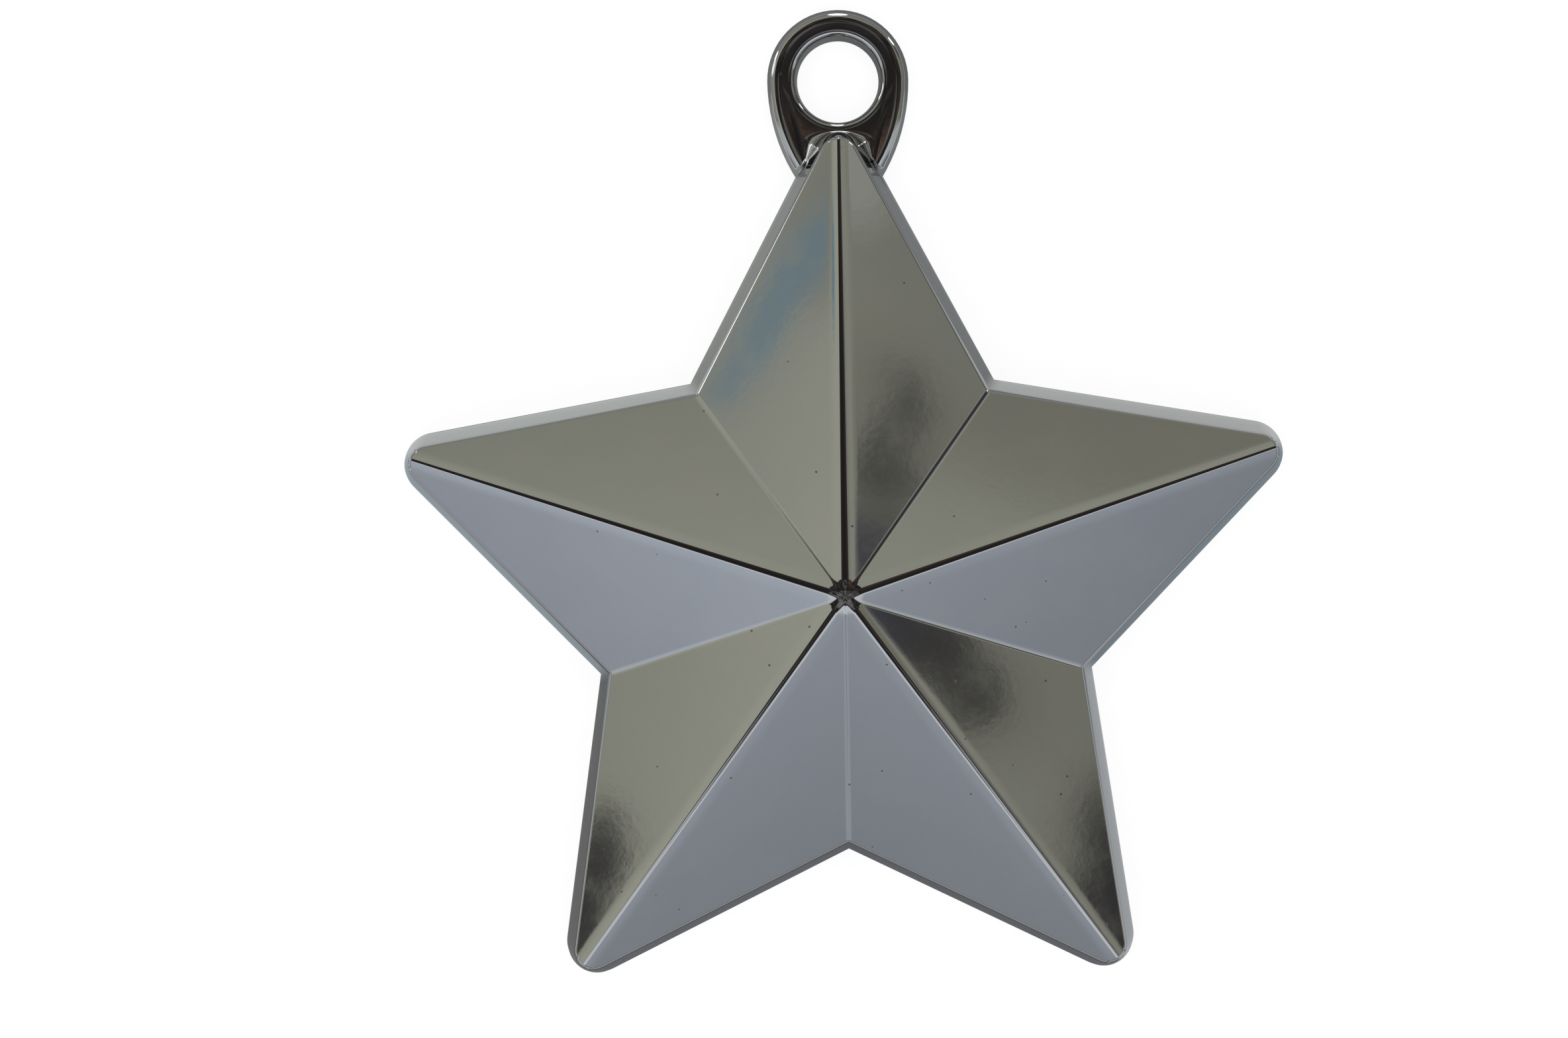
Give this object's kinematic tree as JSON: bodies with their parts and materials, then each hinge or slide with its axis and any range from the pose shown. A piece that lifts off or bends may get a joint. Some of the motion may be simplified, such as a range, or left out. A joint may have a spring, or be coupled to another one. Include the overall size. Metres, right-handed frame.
{
  "type": "balloon weight",
  "caption": "Mirror-plated hollow star with a faceted front, a flat back and a ribbon eye at its top point, filled with sand to hold balloons down.",
  "frame": {"origin": "centre of the star on its flat back face", "axes": "+Z out through the peak of the facets, +Y towards the point that carries the ribbon eye, +X to the right seen from the front"},
  "size_m": [0.109, 0.1186, 0.0314],
  "materials": {
    "front_plating": "polished",
    "cover_plating": "polished",
    "plug_plastic": "satin",
    "sand": "matte"
  },
  "bodies": {
    "root": {"front_shell": "front_plating", "back_cover": "cover_plating", "filler_plug": "plug_plastic", "sand_fill": "sand"}
  },
  "joints": []
}
